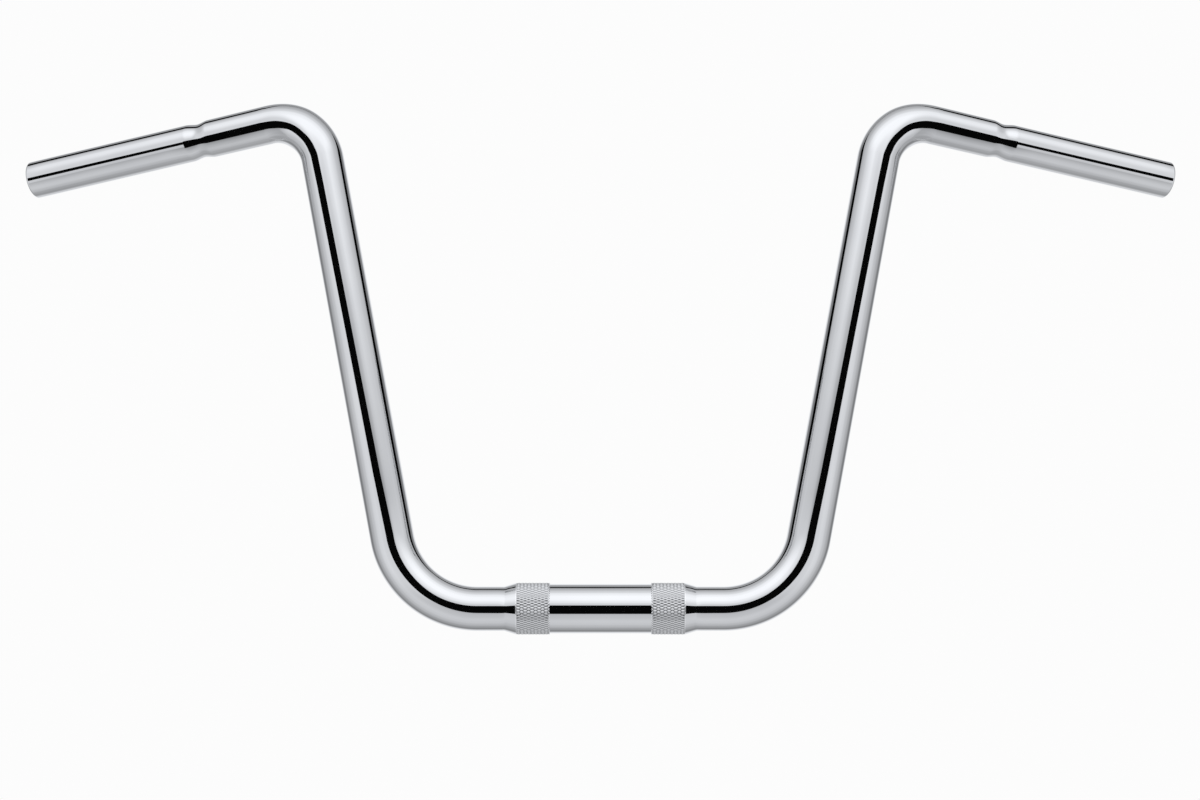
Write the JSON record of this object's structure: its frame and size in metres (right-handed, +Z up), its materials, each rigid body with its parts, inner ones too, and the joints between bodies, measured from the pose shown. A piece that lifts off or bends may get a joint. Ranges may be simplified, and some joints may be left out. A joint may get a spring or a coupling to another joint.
{
  "type": "ape hanger handlebar",
  "caption": "Tall chromed motorcycle handlebar with upright risers, swept-back grips and a thicker knurled clamp zone.",
  "frame": {"origin": "middle of the clamp zone, on the tube's axis", "axes": "+X along the clamp zone to the rider's left grip, +Y rearwards to the rider, +Z up, with the risers leaning back as mounted"},
  "size_m": [0.7954, 0.1544, 0.3521],
  "materials": {
    "chrome": "polished"
  },
  "bodies": {
    "root": {"handlebar": "chrome"}
  },
  "joints": []
}
